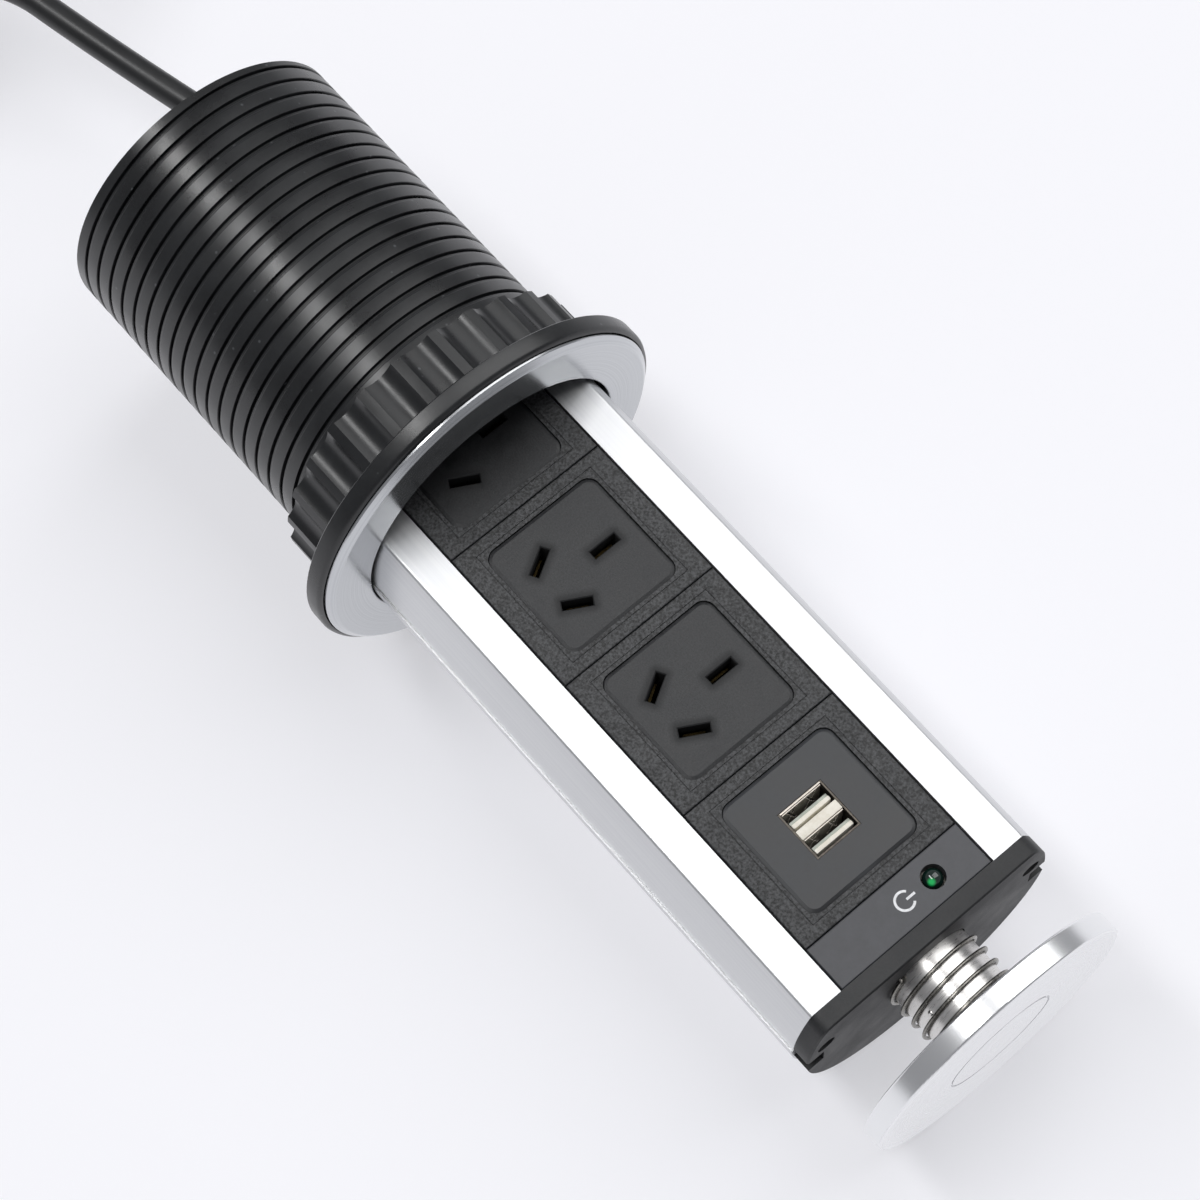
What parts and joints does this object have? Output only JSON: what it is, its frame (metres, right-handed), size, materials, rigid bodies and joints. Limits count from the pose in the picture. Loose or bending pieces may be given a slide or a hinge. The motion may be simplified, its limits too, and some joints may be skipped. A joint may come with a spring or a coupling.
{
  "type": "pop up desk socket",
  "caption": "Round tower of three mains sockets and a twin charging outlet that slides up through a threaded desk grommet, with a spring cap, lock ring and supply lead.",
  "frame": {"origin": "centre of the flange's underside, which rests on the desk top", "axes": "+Z is the way the tower rises, -Y is the side that the sockets face, +X is to the right seen from the sockets' side with the cap up"},
  "size_m": [0.1032, 0.1032, 0.6031],
  "materials": {
    "black_abs": "moulded, low satin",
    "trim_metal": "turned and polished",
    "washer_steel": "zinc plated",
    "profile_metal": "satin anodised extrusion",
    "socket_plastic": "fine spark-eroded texture",
    "contact_brass": "stamped",
    "outlet_shell": "nickel plated",
    "outlet_tongue": "natural white",
    "circuit_board": "solder resist",
    "lamp_green": "clear tinted dome",
    "panel_gloss": "smooth moulded",
    "pad_rubber": "matt",
    "screw_steel": "zinc plated",
    "spring_steel": "bright drawn wire",
    "cap_metal": "brushed, anodised",
    "neck_steel": "brushed tube",
    "guide_plastic": "moulded",
    "block_plastic": "natural",
    "cord_pvc": "smooth sheath",
    "pin_brass": "nickel plated brass"
  },
  "bodies": {
    "base": {"barrel": "black_abs", "bezel_ring": "trim_metal"},
    "washer": {"clamp_washer": "washer_steel"},
    "ring": {"lock_ring": "black_abs"},
    "tower": {"foot": "black_abs", "cord_gland": "black_abs", "gland_locknut": "black_abs", "profile_left": "profile_metal", "profile_right": "profile_metal", "rear_shell": "profile_metal", "socket_frame_1": "socket_plastic", "socket_frame_2": "socket_plastic", "socket_frame_3": "socket_plastic", "usb_frame": "socket_plastic", "lower_panel": "socket_plastic", "socket_insert_1": "socket_plastic", "socket_insert_2": "socket_plastic", "socket_insert_3": "socket_plastic", "usb_insert": "panel_gloss", "led_panel": "panel_gloss", "end_plate": "panel_gloss", "contact_live_1": "contact_brass", "contact_neutral_1": "contact_brass", "contact_earth_1": "contact_brass", "contact_live_2": "contact_brass", "contact_neutral_2": "contact_brass", "contact_earth_2": "contact_brass", "contact_live_3": "contact_brass", "contact_neutral_3": "contact_brass", "contact_earth_3": "contact_brass", "busbar_live": "contact_brass", "busbar_neutral": "contact_brass", "busbar_earth": "contact_brass", "usb_shell": "outlet_shell", "usb_tongue_lower": "outlet_tongue", "usb_tongue_upper": "outlet_tongue", "usb_divider": "outlet_tongue", "usb_board": "circuit_board", "led_lamp": "lamp_green", "led_holder": "block_plastic", "terminal_block": "block_plastic", "friction_pad_1": "pad_rubber", "friction_pad_2": "pad_rubber", "friction_pad_3": "pad_rubber", "foot_screw_1": "screw_steel", "foot_screw_2": "screw_steel", "plate_screws": "screw_steel", "cap_spring": "spring_steel", "neck_sleeve": "guide_plastic", "power_cord": "cord_pvc", "cord_coil": "cord_pvc", "cord_tail": "cord_pvc", "plug_body": "cord_pvc", "cord_tie": "pad_rubber", "plug_pin_live": "pin_brass", "plug_pin_neutral": "pin_brass", "plug_pin_earth": "pin_brass"},
    "cap": {"cap_disc": "cap_metal", "cap_neck": "neck_steel", "cap_screw": "screw_steel"}
  },
  "joints": [
    {"name": "tower_lift", "type": "slide", "parent": "base", "child": "tower", "axis": [0, 0, 1], "range_m": [-0.179, 0.035]},
    {"name": "cap_press", "type": "slide", "parent": "tower", "child": "cap", "axis": [0, 0, 1], "range_m": [-0.01, 0], "stiffness_N_per_m": 310, "springref_m": 0.006, "deforming": ["cap_spring"]},
    {"name": "ring_travel", "type": "slide", "parent": "base", "child": "washer", "axis": [0, 0, 1], "range_m": [-0.0588, 0]},
    {"name": "ring_turn", "type": "hinge", "parent": "washer", "child": "ring", "pos_m": [0, 0, -0.009], "axis": [0, 0, 1], "range_deg": [-4320, 0]}
  ],
  "couplings": [
    {"joint": "ring_turn", "follows": "ring_travel", "rad_per_m": 1282.3}
  ]
}
